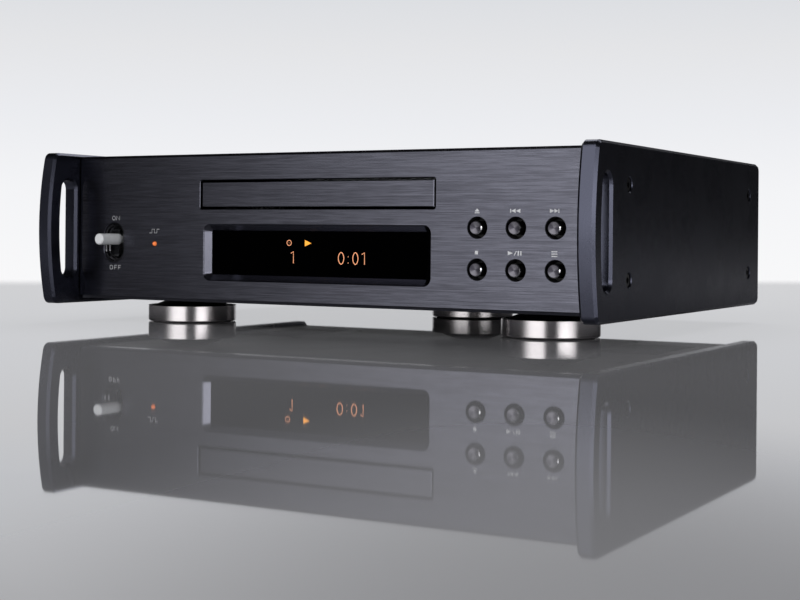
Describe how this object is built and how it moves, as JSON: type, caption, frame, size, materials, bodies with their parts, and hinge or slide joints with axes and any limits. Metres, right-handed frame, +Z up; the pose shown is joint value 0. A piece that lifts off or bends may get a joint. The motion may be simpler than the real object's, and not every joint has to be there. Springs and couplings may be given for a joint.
{
  "type": "compact disc transport",
  "caption": "Slim disc transport: brushed front with loading tray, window display, round keys and power toggle, between thick side plates with handle slots, on turned feet.",
  "frame": {"origin": "middle of the outer box at the floor under the feet", "axes": "+X to the right seen from the front, +Y to the rear, +Z up; the front looks along -Y"},
  "size_m": [0.29, 0.242, 0.0833],
  "materials": {
    "plate_black": "satin anodised",
    "panel_black": "brushed, anodised",
    "case_black": "fine textured paint",
    "zinc_steel": "zinc plated",
    "fastener_black": "black oxide",
    "fastener_steel": "plated",
    "smoked_window": "smoked, glossy",
    "black_plastic": "matt",
    "gloss_black": "glossy",
    "key_metal": "turned, anodised",
    "lever_chrome": "polished",
    "foot_metal": "turned",
    "foot_cone_black": "satin",
    "pad_rubber": "matt",
    "belt_rubber": "matt",
    "lamp_lens": "clear orange",
    "board_green": "solder mask",
    "parts_black": "moulded",
    "coil_tape": "wound tape",
    "gear_white": "moulded acetal",
    "frame_plastic": "moulded, glass filled",
    "tray_plastic": "moulded, fine grain",
    "motor_steel": "drawn can",
    "rail_steel": "ground",
    "gold_brass": "plated"
  },
  "bodies": {
    "cabinet": {"base_chassis": "case_black", "front_panel": "panel_black", "front_frame": "zinc_steel", "display_window": "smoked_window", "display_module": "black_plastic", "display_board": "board_green", "key_board": "board_green", "key_switches": "parts_black", "status_lamp": "lamp_lens", "toggle_bezel": "gloss_black", "toggle_switch": "zinc_steel", "left_side_plate": "plate_black", "right_side_plate": "plate_black", "side_plate_bolts": "fastener_black", "top_cover": "case_black", "rear_panel": "case_black", "case_screws": "fastener_black", "ac_inlet": "black_plastic", "inlet_blades": "fastener_steel", "coax_jack": "gold_brass", "optical_jack": "black_plastic", "clock_jack": "fastener_steel", "main_board": "board_green", "board_parts": "parts_black", "power_board": "board_green", "transformer_coil": "coil_tape", "transformer_clamp": "fastener_steel", "transformer_rubber": "pad_rubber", "board_pillars": "fastener_steel", "board_screws": "fastener_steel", "drive_frame": "frame_plastic", "drive_brackets": "zinc_steel", "clamp_bridge": "zinc_steel", "drive_belt": "belt_rubber", "loading_motor": "motor_steel", "foot_rings": "foot_metal", "foot_cones": "foot_cone_black", "foot_pads": "pad_rubber", "foot_screws": "fastener_steel"},
    "tray": {"tray": "tray_plastic", "tray_door": "panel_black"},
    "drive_gear": {"drive_gear": "gear_white"},
    "pulley_gear": {"pulley_gear": "gear_white"},
    "motor_pulley": {"motor_pulley": "gold_brass"},
    "cam_slider": {"cam_slider": "gear_white"},
    "traverse": {"traverse_frame": "frame_plastic", "spindle_motor": "motor_steel", "guide_rails": "rail_steel", "sled_motor": "motor_steel"},
    "turntable": {"turntable": "black_plastic"},
    "clamp_puck": {"clamp_puck": "black_plastic"},
    "pickup": {"pickup": "parts_black"},
    "sled_screw": {"sled_screw": "rail_steel"},
    "toggle_lever": {"toggle_lever": "lever_chrome"},
    "eject_button": {"eject_button": "key_metal"},
    "previous_button": {"previous_button": "key_metal"},
    "next_button": {"next_button": "key_metal"},
    "stop_button": {"stop_button": "key_metal"},
    "play_button": {"play_button": "key_metal"},
    "menu_button": {"menu_button": "key_metal"}
  },
  "joints": [
    {"name": "tray_slide", "type": "slide", "parent": "cabinet", "child": "tray", "axis": [0, -1, 0], "range_m": [0, 0.138]},
    {"name": "drive_gear_turn", "type": "hinge", "parent": "cabinet", "child": "drive_gear", "pos_m": [-0.04475, -0.0692, 0.054], "axis": [0, 0, 1], "range_deg": [0, 1129.7]},
    {"name": "pulley_gear_turn", "type": "hinge", "parent": "cabinet", "child": "pulley_gear", "pos_m": [-0.02475, -0.0692, 0.052], "axis": [0, 0, 1], "range_deg": [-2905, 0]},
    {"name": "motor_pulley_turn", "type": "hinge", "parent": "cabinet", "child": "motor_pulley", "pos_m": [0.0045, -0.0692, 0.0507], "axis": [0, 0, 1], "range_deg": [-7989, 0]},
    {"name": "traverse_lift", "type": "hinge", "parent": "cabinet", "child": "traverse", "pos_m": [0, 0.0568, 0.05], "axis": [1, 0, 0], "range_deg": [0, 4.6]},
    {"name": "cam_slide", "type": "slide", "parent": "cabinet", "child": "cam_slider", "axis": [1, 0, 0], "range_m": [0, 0.02401]},
    {"name": "turntable_spin", "type": "hinge", "parent": "traverse", "child": "turntable", "pos_m": [0, -0.0242, 0.06], "axis": [0, 0, 1], "continuous": true},
    {"name": "puck_spin", "type": "hinge", "parent": "cabinet", "child": "clamp_puck", "pos_m": [0, -0.0242, 0.068], "axis": [0, 0, 1], "continuous": true},
    {"name": "pickup_slide", "type": "slide", "parent": "traverse", "child": "pickup", "axis": [0, 1, 0], "range_m": [0, 0.0355]},
    {"name": "sled_screw_turn", "type": "hinge", "parent": "traverse", "child": "sled_screw", "pos_m": [0.033, 0.0178, 0.05], "axis": [0, 1, 0], "range_deg": [0, 4261]},
    {"name": "toggle_swing", "type": "hinge", "parent": "cabinet", "child": "toggle_lever", "pos_m": [-0.1153, -0.0862, 0.0413], "axis": [1, 0, 0], "range_deg": [0, 22]},
    {"name": "eject_press", "type": "slide", "parent": "cabinet", "child": "eject_button", "axis": [0, 1, 0], "range_m": [0, 0.0007], "stiffness_N_per_m": 400, "springref_m": -0.0005},
    {"name": "previous_press", "type": "slide", "parent": "cabinet", "child": "previous_button", "axis": [0, 1, 0], "range_m": [0, 0.0007], "stiffness_N_per_m": 400, "springref_m": -0.0005},
    {"name": "next_press", "type": "slide", "parent": "cabinet", "child": "next_button", "axis": [0, 1, 0], "range_m": [0, 0.0007], "stiffness_N_per_m": 400, "springref_m": -0.0005},
    {"name": "stop_press", "type": "slide", "parent": "cabinet", "child": "stop_button", "axis": [0, 1, 0], "range_m": [0, 0.0007], "stiffness_N_per_m": 400, "springref_m": -0.0005},
    {"name": "play_press", "type": "slide", "parent": "cabinet", "child": "play_button", "axis": [0, 1, 0], "range_m": [0, 0.0007], "stiffness_N_per_m": 400, "springref_m": -0.0005},
    {"name": "menu_press", "type": "slide", "parent": "cabinet", "child": "menu_button", "axis": [0, 1, 0], "range_m": [0, 0.0007], "stiffness_N_per_m": 400, "springref_m": -0.0005}
  ],
  "couplings": [
    {"joint": "drive_gear_turn", "follows": "tray_slide", "rad_per_m": 142.86},
    {"joint": "pulley_gear_turn", "follows": "tray_slide", "rad_per_m": -367.35},
    {"joint": "motor_pulley_turn", "follows": "tray_slide", "rad_per_m": -1010.2},
    {"joint": "cam_slide", "follows": "traverse_lift", "m_per_rad": 0.29894},
    {"joint": "puck_spin", "follows": "turntable_spin", "ratio": 1},
    {"joint": "sled_screw_turn", "follows": "pickup_slide", "rad_per_m": 2094.4}
  ]
}
